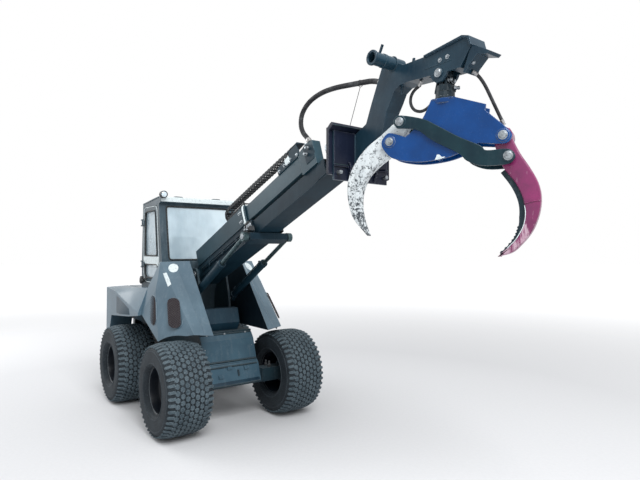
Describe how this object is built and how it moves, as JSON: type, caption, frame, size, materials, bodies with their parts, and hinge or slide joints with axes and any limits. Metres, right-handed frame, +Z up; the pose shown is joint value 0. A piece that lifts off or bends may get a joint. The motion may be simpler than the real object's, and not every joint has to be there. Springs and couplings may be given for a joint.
{
  "type": "skid steer loader with telescopic boom and log grapple",
  "caption": "Wheeled skid steer loader with a cab, a telescopic lift boom, a gooseneck jib and a rotating log grapple with curved tines; hinged doors and spinning wheels.",
  "frame": {"origin": "on the ground under the middle of the whole machine, grapple included", "axes": "+X forward along the boom, +Y to the machine's left, +Z up"},
  "size_m": [4.7712, 1.513, 2.7516],
  "materials": {
    "tyre_rubber": "worn turf tyre",
    "rim_black": "satin black",
    "chassis_paint": "dusty satin",
    "body_grey": "charcoal satin",
    "engine_iron": "rough casting",
    "cab_paint": "dark satin",
    "clear_glass": "clear",
    "seat_vinyl": "black vinyl",
    "black_plastic": "moulded",
    "boom_green": "dark teal satin",
    "rod_chrome": "polished",
    "grapple_blue": "gloss blue",
    "tine_white": "chipped white",
    "tine_magenta": "magenta, worn at the tip",
    "link_green": "dark green",
    "hose_rubber": "hydraulic hose"
  },
  "bodies": {
    "chassis": {"chassis_frame": "chassis_paint", "front_panel": "chassis_paint", "front_bulkhead": "body_grey", "fender_right": "body_grey", "fender_left": "body_grey", "side_box_right": "body_grey", "side_box_left": "body_grey", "engine_block": "engine_iron", "engine_hood": "body_grey", "rear_bumper": "engine_iron", "hub_motors": "chassis_paint", "cab_shell": "cab_paint", "windshield": "clear_glass", "cab_windows": "clear_glass", "seat": "seat_vinyl", "control_levers": "black_plastic", "work_lamp": "black_plastic", "filler_cap": "black_plastic", "boom_pivot": "boom_green"},
    "cab_door": {"cab_door": "cab_paint", "door_glass": "clear_glass"},
    "rear_door": {"rear_door": "body_grey"},
    "boom": {"boom_outer": "boom_green", "rail_outer": "boom_green", "drag_chain": "black_plastic"},
    "boom_inner": {"boom_inner": "boom_green", "rail_inner": "boom_green"},
    "lift_barrels": {"lift_barrels": "boom_green"},
    "lift_rods": {"lift_rods": "rod_chrome"},
    "carriage": {"quick_plate": "boom_green", "jib": "boom_green", "hose_loop": "hose_rubber"},
    "tilt_barrel": {"tilt_barrel": "boom_green"},
    "tilt_rod": {"tilt_rod": "rod_chrome"},
    "hanger": {"hanger": "engine_iron", "hose_left": "hose_rubber", "hose_right": "hose_rubber"},
    "grapple": {"grapple_head": "grapple_blue"},
    "tine_left": {"tine_left": "tine_white"},
    "tine_right": {"tine_right": "tine_magenta"},
    "cross_link": {"cross_link": "link_green"},
    "wheel_front_right": {"tyre_front_right": "tyre_rubber", "rim_front_right": "rim_black"},
    "wheel_front_left": {"tyre_front_left": "tyre_rubber", "rim_front_left": "rim_black"},
    "wheel_rear_right": {"tyre_rear_right": "tyre_rubber", "rim_rear_right": "rim_black"},
    "wheel_rear_left": {"tyre_rear_left": "tyre_rubber", "rim_rear_left": "rim_black"}
  },
  "joints": [
    {"name": "wheel_front_right_spin", "type": "hinge", "parent": "chassis", "child": "wheel_front_right", "pos_m": [-0.50057, -0.561, 0.3935], "axis": [0, 1, 0], "continuous": true},
    {"name": "wheel_front_left_spin", "type": "hinge", "parent": "chassis", "child": "wheel_front_left", "pos_m": [-0.50057, 0.561, 0.3935], "axis": [0, 1, 0], "continuous": true},
    {"name": "wheel_rear_right_spin", "type": "hinge", "parent": "chassis", "child": "wheel_rear_right", "pos_m": [-1.80157, -0.561, 0.3935], "axis": [0, 1, 0], "continuous": true},
    {"name": "wheel_rear_left_spin", "type": "hinge", "parent": "chassis", "child": "wheel_rear_left", "pos_m": [-1.80157, 0.561, 0.3935], "axis": [0, 1, 0], "continuous": true},
    {"name": "cab_door_swing", "type": "hinge", "parent": "chassis", "child": "cab_door", "pos_m": [-1.74957, -0.432, 1.64], "axis": [0, 0, -1], "range_deg": [0, 100]},
    {"name": "rear_door_swing", "type": "hinge", "parent": "chassis", "child": "rear_door", "pos_m": [-2.30557, 0.404, 1.025], "axis": [0, 0, -1], "range_deg": [0, 110]},
    {"name": "boom_lift", "type": "hinge", "parent": "chassis", "child": "boom", "pos_m": [-1.02295, 0, 1.32558], "axis": [0, -1, 0], "range_deg": [-57, 28]},
    {"name": "boom_extend", "type": "slide", "parent": "boom", "child": "boom_inner", "axis": [0.9285, 0, 0.3714], "range_m": [-0.75, 0.15]},
    {"name": "plate_tilt", "type": "hinge", "parent": "boom_inner", "child": "carriage", "pos_m": [1.06466, 0, 2.24565], "axis": [0, 1, 0], "range_deg": [-50, 40], "deforming": ["hose_loop"]},
    {"name": "lift_barrel_swing", "type": "hinge", "parent": "chassis", "child": "lift_barrels", "pos_m": [-0.95057, 0, 1.096], "axis": [0, -1, 0], "range_deg": [-58, 29]},
    {"name": "lift_rod_slide", "type": "slide", "parent": "lift_barrels", "child": "lift_rods", "axis": [0.8715, 0, 0.4903], "range_m": [-0.227, 0.117]},
    {"name": "tilt_barrel_swing", "type": "hinge", "parent": "boom_inner", "child": "tilt_barrel", "pos_m": [0.37832, 0, 1.8882], "axis": [0, -1, 0], "range_deg": [-1, 1]},
    {"name": "tilt_rod_slide", "type": "slide", "parent": "tilt_barrel", "child": "tilt_rod", "axis": [0.9391, 0, 0.3436], "range_m": [-0.08, 0.09]},
    {"name": "hanger_swing", "type": "hinge", "parent": "carriage", "child": "hanger", "pos_m": [1.93366, 0, 2.51864], "axis": [0, -1, 0], "range_deg": [-10, 40], "deforming": ["hose_left", "hose_right"]},
    {"name": "grapple_rotate", "type": "hinge", "parent": "hanger", "child": "grapple", "pos_m": [1.93366, 0, 2.37865], "axis": [0, 0, 1], "range_deg": [-170, 170]},
    {"name": "tine_left_close", "type": "hinge", "parent": "grapple", "child": "tine_left", "pos_m": [1.65868, -0.12243, 2.17164], "axis": [-0.4067, 0.9135, 0], "range_deg": [-36, 8]},
    {"name": "tine_right_close", "type": "hinge", "parent": "grapple", "child": "tine_right", "pos_m": [2.21503, 0.12527, 2.14364], "axis": [-0.4067, 0.9135, 0], "range_deg": [-9, 37]},
    {"name": "cross_link_swing", "type": "hinge", "parent": "tine_left", "child": "cross_link", "pos_m": [1.71898, -0.09558, 2.27365], "axis": [-0.4067, 0.9135, 0], "range_deg": [-9, 37]}
  ],
  "couplings": [
    {"joint": "lift_barrel_swing", "follows": "boom_lift", "ratio": 1.01},
    {"joint": "lift_rod_slide", "follows": "boom_lift", "m_per_rad": 0.2182},
    {"joint": "tilt_barrel_swing", "follows": "plate_tilt", "ratio": -0.01},
    {"joint": "tilt_rod_slide", "follows": "plate_tilt", "m_per_rad": -0.0895},
    {"joint": "tine_right_close", "follows": "tine_left_close", "ratio": -1},
    {"joint": "cross_link_swing", "follows": "tine_left_close", "ratio": -1}
  ]
}
